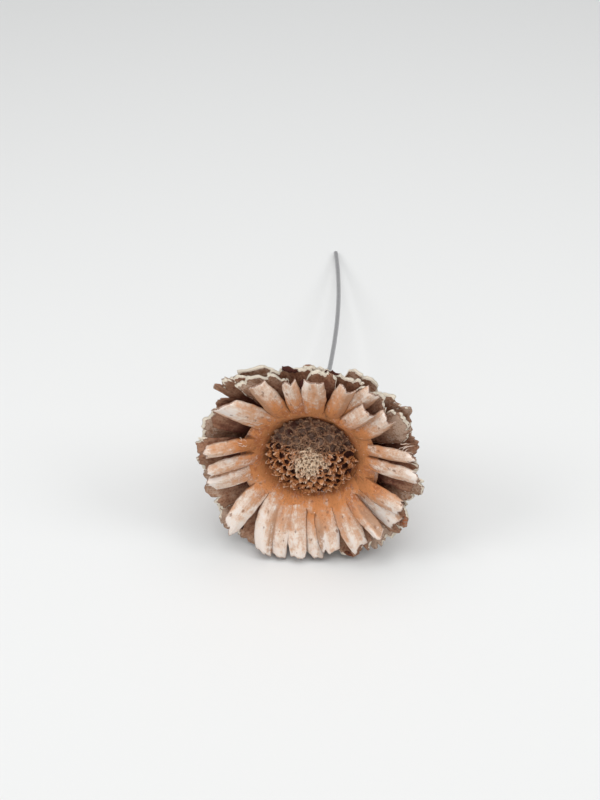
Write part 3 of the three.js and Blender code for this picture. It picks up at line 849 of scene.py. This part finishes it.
# Painted shade at the roots of the outer bracts, behind the inner ones.
ROOT_SHADE = (0.15, 0.05, 0.032)
OUTER_THIN_WASH = (0.54, 0.33, 0.22)
OUTER_WASH = (0.76, 0.57, 0.44)
RIM_SHADOW = (0.12, 0.05, 0.035)
# Dark curls, the darkest of them painted shade in a hole behind the tips.
CURL_BROWN_AND_SHADE = (0.07, 0.02, 0.014)
CURL_RUST = (0.42, 0.13, 0.05)
BACK_WASH = (0.46, 0.35, 0.28)

LIP_BROWN, LIP_ORANGE = (0.30, 0.10, 0.035), (0.78, 0.34, 0.13)
CHAFF_BROWN, CHAFF_CREAM = (0.52, 0.29, 0.16), (0.94, 0.76, 0.57)
# A dusting with painted shade over the dome's upper part, on its lips and in its pits.
SHADED_DUST_BROWN, SHADED_DUST_GREY = (0.13, 0.06, 0.036), (0.42, 0.275, 0.185)
SHADED_DUSTY_PIT, CHAFF_PIT = (0.18, 0.115, 0.085), (0.40, 0.26, 0.17)
WOOD_DARK, WOOD_PALE = (0.12, 0.06, 0.035), (0.42, 0.30, 0.20)
ZINC_DARK, ZINC_PALE = (0.40, 0.40, 0.405), (0.58, 0.58, 0.585)


class Sketch:
    """Short calls for the nodes of one material."""

    def __init__(self, name, roughness, specular, metallic=0.0):
        self.material = bpy.data.materials.new(name)
        self.material.use_nodes = True
        self.tree = self.material.node_tree
        self.shader = self.tree.nodes["Principled BSDF"]
        self.feed(self.shader, {
            "Roughness": roughness, "Specular IOR Level": specular, "Metallic": metallic})

    def feed(self, made, inputs):
        """Links or sets the inputs of a node, by their names or numbers."""
        for key, value in inputs.items():
            if isinstance(value, bpy.types.NodeSocket):
                self.tree.links.new(value, made.inputs[key])
            else:
                made.inputs[key].default_value = value

    def node(self, kind, inputs, output=0, **settings):
        """The output of a new node with its settings and inputs."""
        made = self.tree.nodes.new("ShaderNode" + kind)
        for key, value in settings.items():
            setattr(made, key, value)
        self.feed(made, inputs)
        return made.outputs[output]

    def attributes(self, *names):
        """The mesh's own values. The grain is a vector, and the others are numbers."""
        return [self.node("Attribute", {}, "Vector" if name == "grain" else "Fac", attribute_name=name)
                for name in names]

    def stretched(self, vector, scale):
        """A vector times a scale for each axis."""
        return self.node("Mapping", {"Vector": vector, "Scale": scale})

    def millimetres(self):
        """Object coordinates in mm."""
        return self.stretched(self.node("TexCoord", {}, "Object"), (1 / MM,) * 3)

    def noise(self, vector, scale, detail=3.0, roughness=0.55):
        """Fractal noise, from 0 to 1."""
        return self.node("TexNoise", {
            "Vector": vector, "Scale": scale, "Detail": detail, "Roughness": roughness}, "Fac")

    def grained(self, grain, across, along, *detail):
        """Noise with its own scale across the grain and along it."""
        return self.noise(self.stretched(grain, (across, along, 1.0)), 1.0, *detail)

    def chain(self, operation, values):
        """The values joined by one operation, in order."""
        result, *others = values
        for value in others:
            result = self.node("Math", {0: result, 1: value}, operation=operation)
        return result

    def times(self, *values):
        """The product of the values."""
        return self.chain("MULTIPLY", values)

    def total(self, *values):
        """The sum of the values. A pair of a value and an amount stands for the value less a half, times
        the amount, so that a noise swings round 0."""
        def swung(value):
            return self.times(self.chain("SUBTRACT", (value[0], 0.5)), value[1])

        return self.chain("ADD", [swung(v) if isinstance(v, tuple) else v for v in values])

    def between(self, value, low, high, most=1.0):
        """0 where the value, or the total of a list, is low, and most where it is high, smoothly. High may
        be the smaller one."""
        value = self.total(*value) if isinstance(value, list) else value
        return self.node("MapRange", {0: value, 1: low, 2: high, 4: most},
                         interpolation_type="SMOOTHSTEP")

    def ramp(self, value, *stops):
        """A colour that runs through the stops, each a place from 0 to 1 and a colour."""
        colour = self.node("ValToRGB", {0: value}, "Color")
        elements = colour.node.color_ramp.elements
        while len(elements) < len(stops):
            elements.new(1.0)
        for element, (place, stop) in zip(elements, stops):
            element.position, element.color = place, (*stop, 1.0)
        return colour

    def coats(self, colour, *coats):
        """A colour with coats over it, each with the share that it covers and its own colour."""
        for share, coat in coats:
            under, over = (c if isinstance(c, bpy.types.NodeSocket) else (*c, 1.0) for c in (colour, coat))
            colour = self.node("Mix", {0: share, 6: under, 7: over}, 2, data_type="RGBA")
        return colour

    def finish(self, colour, height=None, strength=0.0, depth=0.0, roughness=None):
        """Sets the colour, and the bump and the roughness where there are any. The depth is in metres."""
        self.feed(self.shader, {"Base Color": colour})
        if roughness is not None:
            self.feed(self.shader, {"Roughness": roughness})
        if height is not None:
            self.feed(self.shader, {"Normal": self.node(
                "Bump", {"Strength": strength, "Distance": depth, "Height": height})})
        return self.material


def shaded(colour, factor):
    """A colour made darker or lighter, at most white."""
    return tuple(min(1.0, part * factor) for part in colour)


def inner_bract_finish():
    """Darker brown against the dome, then orange-brown with rusty patches, then tan. A thin veil and then
    patches of thick lime wash grow towards the tips, and one side of a bract may be painted in shade,
    darker tan with less wash. Lime specks, brown dots, painted shade in the creases where the bracts
    part, and pale torn edges, partly a painted highlight, browned along the very tips."""
    c = bpy.context.scene.protea_colours
    k = Sketch("inner_bract_finish", 0.7, 0.25)
    grain, reach, tone, rim, crease, flank, front = k.attributes(
        "grain", "reach", "tone", "rim", "crease", "flank", "front")
    place = k.millimetres()
    clouds = k.noise(place, 0.13, 3.0)
    patches = k.noise(place, 0.45, 5.0, 0.6)
    mottle = k.noise(place, 1.6, 4.0, 0.6)
    streaks = k.grained(grain, 2.0, 0.15, 4.0)
    fine = k.grained(grain, 6.0, 0.4, 3.0)
    drawn_out = k.grained(grain, 0.34, 0.08, 4.0, 0.6)
    height = k.node("SeparateXYZ", {0: place}, "Z")
    below = k.between([height, (clouds, 14.0)], 38.0, 22.0)
    where = k.total(reach, (clouds, 0.3), (patches, 0.22), (streaks, 0.14), (tone, 0.14),
                    k.times(below, 0.13))
    rusty = k.between([patches, (clouds, 0.6)], 0.47, 0.62, 0.7)
    bare = k.coats(
        k.ramp(where, (0.36, shaded(c.basin, 0.35)), (0.45, shaded(c.basin, 0.75)), (0.58, c.basin),
               (0.78, c.tan), (0.98, shaded(c.tan, 1.15))),
        (k.between([mottle, (streaks, 0.5)], 0.5, 0.72, 0.6), shaded(c.basin, 0.55)),
        (k.times(rusty, k.between(reach, 0.78, 0.6)), RUST),
        (k.between(fine, 0.55, 0.85, 0.5), shaded(c.tan, 0.5)))
    cover = k.total((patches, 1.5), (drawn_out, 1.7), (mottle, 0.7), (streaks, 0.5), (clouds, 0.9),
                    (reach, 1.9), (tone, 0.4), k.times(below, 0.24), -0.448)
    # Painted shade on one side of a bract, which also thins the wash there.
    flank = k.between([flank, (streaks, 0.5), (mottle, 0.4)], 0.2, 0.75, 1.15)
    flank = k.times(flank, k.between(reach, 0.5, 0.7))
    thin = k.between([cover, k.times(flank, -0.15)], -0.3, 0.25, 0.75)
    thick = k.between([cover, (fine, 0.3), k.times(flank, -0.35)], 0.0, 0.46)
    specks = k.between([k.noise(place, 1.05, 2.0), (clouds, 0.25)], 0.70, 0.735, 0.85)
    dots = k.node("TexVoronoi", {
        "Vector": k.stretched(grain, (0.45, 0.36, 1.0)), "Scale": 1.0}, "Distance")
    drawn = k.node("SeparateColor", {0: dots.node.outputs["Color"]})
    dots = k.times(k.between(drawn, 0.5, 0.54), k.between([dots, (mottle, 0.5)], 0.27, 0.1, 0.7))
    # Pale torn edges towards the tips, partly a painted highlight.
    pale = k.times(k.between([rim, (mottle, 0.9)], 0.45, 0.8), k.between(reach, 0.6, 0.85, 0.8))
    broken = k.times(k.between(rim, 0.6, 1.0), k.between(mottle, 0.36, 0.52, 0.8))
    washed = k.coats(
        bare,
        (thin, THIN_WASH),
        (k.times(flank, 0.55), shaded(c.tan, 0.6)),
        (k.times(thick, 0.9), k.coats(CREAM_WASH, (k.between(cover, 0.3, 0.7), WHITE_WASH))),
        (specks, shaded(c.wash, 1.2)),
        (dots, shaded(c.bark, 0.9)),
        # Painted shade in the creases between the bracts.
        (k.between([crease, (streaks, 0.7)], 0.28, 0.8, 0.8), shaded(c.basin, 0.3)),
        (pale, shaded(c.wash, 1.25)),
        (broken, shaded(c.bark, 0.8)))
    back = k.coats(shaded(c.bark, 1.2), (k.between(patches, 0.45, 0.7), shaded(c.wash, 0.7)))
    relief = k.total(k.times(streaks, 0.9), k.times(fine, 0.4), k.times(mottle, 0.8),
                     k.times(thick, 0.35))
    return k.finish(k.coats(back, (k.between(front, 0.2, 0.6), washed)), relief, 0.8, 0.0004)


def outer_bract_finish():
    """Mottled mauve-brown, darker and redder towards the root where shade is painted, with a warm wash in
    patches, and cream torn edges that come and go. The backs are brown with streaks of grey wash. Curls
    are dark brown, the darkest standing in for painted shade, and some of them are rusty."""
    c = bpy.context.scene.protea_colours
    k = Sketch("outer_bract_finish", 0.78, 0.2)
    grain, reach, tone, rim, front = k.attributes("grain", "reach", "tone", "rim", "front")
    place = k.millimetres()
    clouds = k.noise(place, 0.09, 2.0)
    patches = k.noise(place, 0.28, 5.0, 0.6)
    mottle = k.noise(place, 1.1, 5.0, 0.65)
    streaks = k.grained(grain, 0.9, 0.16, 4.0)
    cover = k.total((patches, 1.5), (mottle, 1.3), (streaks, 0.5), (reach, 1.5), (tone, 0.6), -0.495)
    high = k.between(k.node("SeparateXYZ", {0: place}, "Z"), 60.0, 76.0, 0.3)
    kept = k.between([patches, (clouds, 1.2), (tone, 0.2), high], 0.45, 0.6, 0.95)
    rim = k.total(k.times(rim, k.total(kept, 0.2)), (mottle, 1.5), -0.05)
    rusty = k.times(k.between(tone, 1.3, 1.5), k.between(tone, 1.85, 1.6), k.between(mottle, 0.4, 0.55))
    face = k.coats(
        shaded(c.bark, 0.75),
        (k.between([streaks, (mottle, 0.8)], 0.3, 0.7), shaded(c.bark, 1.3)),
        # Painted shade towards the roots, where the bracts in front shade them.
        (k.between([reach, (patches, 0.6), (tone, 0.2)], 0.85, 0.55), ROOT_SHADE),
        (k.between(cover, -0.4, 0.2, 0.65), OUTER_THIN_WASH),
        (k.between(cover, 0.14, 0.34, 0.7), OUTER_WASH),
        (k.times(k.between(rim, 0.05, 0.3), k.between(rim, 0.55, 0.4, 0.5)), RIM_SHADOW),
        (k.between(rim, 0.42, 0.62), c.torn),
        # Dark curls, the darkest of them painted shade.
        (k.between(tone, 1.3, 1.8), CURL_BROWN_AND_SHADE),
        (rusty, CURL_RUST))
    dusted = k.total(streaks, (patches, 0.7), (mottle, 0.7), (reach, 0.5), -0.1)
    back = k.coats(
        c.bark,
        (k.between(dusted, 0.4, 0.8, 0.7), BACK_WASH),
        (k.between(streaks, 0.5, 0.3, 0.7), shaded(c.bark, 0.55)),
        (k.between(rim, 0.6, 0.85), shaded(c.torn, 0.85)))
    relief = k.total(k.times(streaks, 0.6), patches, mottle)
    return k.finish(k.coats(back, (k.between(front, 0.2, 0.6), face)), relief, 0.9, 0.0005)


def receptacle_finish():
    """Dark red-brown pits, orange-brown lips with cream edges that are partly a painted highlight, cream
    chaff round the middle, a grey-brown dusting with painted shade over the upper part, and fibrous
    brown wood on the stub and the cone."""
    c = bpy.context.scene.protea_colours
    k = Sketch("receptacle_finish", 0.78, 0.18)
    grain, reach, crest, dusty = k.attributes("grain", "reach", "crest", "dusty")
    place = k.millimetres()
    patches = k.noise(place, 0.35, 4.0)
    mottle = k.noise(place, 1.5, 4.0, 0.6)
    fine = k.noise(place, 4.0, 3.0)
    # The upper part: a dusting and painted shade, greyer and darker where the top bracts shade the dome.
    dusty = k.between([dusty, (patches, 0.8), (mottle, 0.4)], 0.1, 0.7)
    limed = k.between([reach, (patches, 1.0), (mottle, 0.7)], 0.5, 0.2)
    chaff = k.coats(CHAFF_BROWN, (k.between(fine, 0.3, 0.52), CHAFF_CREAM))
    shaded_dust = k.coats(SHADED_DUST_BROWN, (k.between([fine, (mottle, 0.8)], 0.35, 0.65), SHADED_DUST_GREY))
    lips = k.coats(
        LIP_BROWN,
        (k.between(mottle, 0.38, 0.62), LIP_ORANGE),
        (limed, chaff),
        (k.times(dusty, k.between(limed, 0.9, 0.3, 0.85)), shaded_dust))
    pits = k.coats(
        c.pit,
        (k.times(dusty, k.between(patches, 0.66, 0.5, 0.85)), SHADED_DUSTY_PIT),
        (k.times(limed, 0.9), CHAFF_PIT))
    height = k.total(crest, (fine, 0.25))
    # Cream on the highest crests, partly a painted highlight, left off the shaded upper part.
    edges = k.times(k.between(height, 0.68, 0.98), k.between(mottle, 0.42, 0.6, 0.6),
                    k.between(dusty, 0.9, 0.3))
    fibrous = k.noise(k.stretched(grain, (1.5, 0.12, 1.5)), 1.0, 4.0)
    colour = k.coats(
        k.coats(WOOD_DARK, (fibrous, WOOD_PALE)),
        (k.between(crest, -0.6, -0.3),
         k.coats(pits, (k.between(height, 0.12, 0.55), lips), (edges, c.torn))))
    return k.finish(colour, k.total(mottle, fine), 0.5, 0.0003)


def wire_finish():
    """Dull galvanised steel with drawn streaks."""
    k = Sketch("wire_finish", 0.45, 0.5, 0.75)
    place = k.millimetres()
    spots = k.noise(place, 0.9, 4.0)
    streaks = k.noise(k.stretched(place, (1.0, 0.05, 1.0)), 2.5, 2.0)
    return k.finish(k.coats(ZINC_DARK, (spots, ZINC_PALE)), spots, 0.2, 0.0001,
                    k.between(streaks, -0.6, 1.9))


# ---- operators

FLOOR_HALF = 3.0
FLOOR_COLOUR = (0.775, 0.78, 0.775, 1.0)
SKY_COLOUR = (0.98, 0.99, 1.0, 1.0)
SKY_STRENGTH = 0.39
LAMP_AIM = Vector((0, -0.05, 0.02))
# Each round lamp: its name, its place, its diameter and its watts.
LAMPS = [
    ("left", (-0.55, -0.22, 0.55), 0.34, 1.5), ("right", (0.55, -0.22, 0.55), 0.34, 1.3),
    ("overhead", (0.02, -0.08, 0.7), 0.8, 3.0), ("front", (-0.12, -0.85, 0.5), 0.4, 0.25),
]
FRAME_HEIGHT = 24.0


class PROTEA_OT_stage(bpy.types.Operator):
    """The pale floor, the soft light and the camera."""

    bl_idname = "protea.stage"
    bl_label = "Stage"

    def execute(self, context):
        scene, settings = context.scene, context.scene.protea_stage
        scene.view_settings.view_transform = "Standard"
        mesh = bpy.data.meshes.new("floor")
        corners = np.array([(-1, -1, 0), (1, -1, 0), (1, 1, 0), (-1, 1, 0)]) * FLOOR_HALF
        mesh.from_pydata(corners.tolist(), [], [(0, 1, 2, 3)])
        mesh.materials.append(Sketch("floor_finish", 0.9, 0.1).finish(FLOOR_COLOUR))
        floor = linked("floor", mesh)

        scene.world = bpy.data.worlds.new("studio")
        scene.world.use_nodes = True
        sky = scene.world.node_tree.nodes["Background"].inputs
        sky["Color"].default_value, sky["Strength"].default_value = SKY_COLOUR, SKY_STRENGTH
        for name, place, size, watts in LAMPS:
            light = bpy.data.lights.new(name, "AREA")
            light.shape, light.size, light.energy = "DISK", size, watts * settings.light
            lamp = linked(name, light)
            lamp.location = place
            lamp.rotation_euler = (LAMP_AIM - lamp.location).to_track_quat("-Z", "Y").to_euler()

        camera = bpy.data.cameras.new("camera")
        camera.sensor_fit, camera.sensor_height = "VERTICAL", FRAME_HEIGHT
        camera.lens = settings.focal_length
        camera.clip_start, camera.clip_end = 0.01, 20.0
        seat = linked("camera", camera)
        up = settings.camera_elevation
        away = Vector((0, -math.cos(up), math.sin(up))) * settings.camera_distance
        seat.location = Vector(settings.view_centre) + away
        seat.rotation_euler = (math.pi / 2 - up, 0, 0)
        scene.camera = seat
        return {"FINISHED"}


class PROTEA_OT_bracts(bpy.types.Operator):
    """The inner bracts with their fused basin, and the outer bracts, in the order of their draws."""

    bl_idname = "protea.bracts"
    bl_label = "Bracts"

    def execute(self, context):
        draw = seeded_draws(SEED)
        wear = np.random.default_rng(shape().wear_seed)
        inner, outer = Surface(), Surface()
        add_basin(inner)
        add_rows(inner, INNER_ROWS, draw, wear, shape().inner_thickness / MM, False)
        add_rows(outer, OUTER_ROWS, draw, wear, shape().outer_thickness / MM, True)
        add_fibres(inner)
        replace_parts(inner.build("inner_bract_ring", inner_bract_finish(), "inner_bracts"), "inner_bracts")
        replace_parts(outer.build("outer_bract_rows", outer_bract_finish(), "outer_bracts"), "outer_bracts")
        return {"FINISHED"}


class PROTEA_OT_receptacle(bpy.types.Operator):
    """The stub, the cone and the dome with its pits."""

    bl_idname = "protea.receptacle"
    bl_label = "Receptacle"

    def execute(self, context):
        surface = Surface()
        add_receptacle(surface)
        add_scales(surface)
        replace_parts(surface.build("floret_seat", receptacle_finish(), "receptacle"), "receptacle")
        return {"FINISHED"}


class PROTEA_OT_wire(bpy.types.Operator):
    """The wire stem, round and with its ends cut square."""

    bl_idname = "protea.wire"
    bl_label = "Wire"

    def execute(self, context):
        surface = Surface()
        add_wire(surface)
        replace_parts(surface.build("stub_wire", wire_finish(), "wire"), "wire_stem")
        return {"FINISHED"}


class PROTEA_PT_sidebar(bpy.types.Panel):
    """Lists the steps and the settings."""

    bl_label = "Dried protea"
    bl_space_type = "VIEW_3D"
    bl_region_type = "UI"
    bl_category = "Protea"

    def draw(self, context):
        for operator in STEPS:
            self.layout.operator(operator.bl_idname)
        for name, group in GROUPS.items():
            for key in group.__annotations__:
                self.layout.prop(getattr(context.scene, name), key)


STEPS = (PROTEA_OT_stage, PROTEA_OT_bracts, PROTEA_OT_receptacle, PROTEA_OT_wire)
GROUPS = {"protea_shape": ProteaShape, "protea_colours": ProteaColours, "protea_stage": ProteaStage}
CLASSES = (*GROUPS.values(), *STEPS, PROTEA_PT_sidebar)


def register():
    for cls in CLASSES:
        bpy.utils.register_class(cls)
    for name, group in GROUPS.items():
        setattr(bpy.types.Scene, name, PointerProperty(type=group))


def unregister():
    for name in GROUPS:
        delattr(bpy.types.Scene, name)
    for cls in reversed(CLASSES):
        bpy.utils.unregister_class(cls)


def main():
    register()
    bpy.ops.protea.stage()
    bpy.ops.protea.bracts()
    bpy.ops.protea.receptacle()
    bpy.ops.protea.wire()


if __name__ == "__main__":
    main()
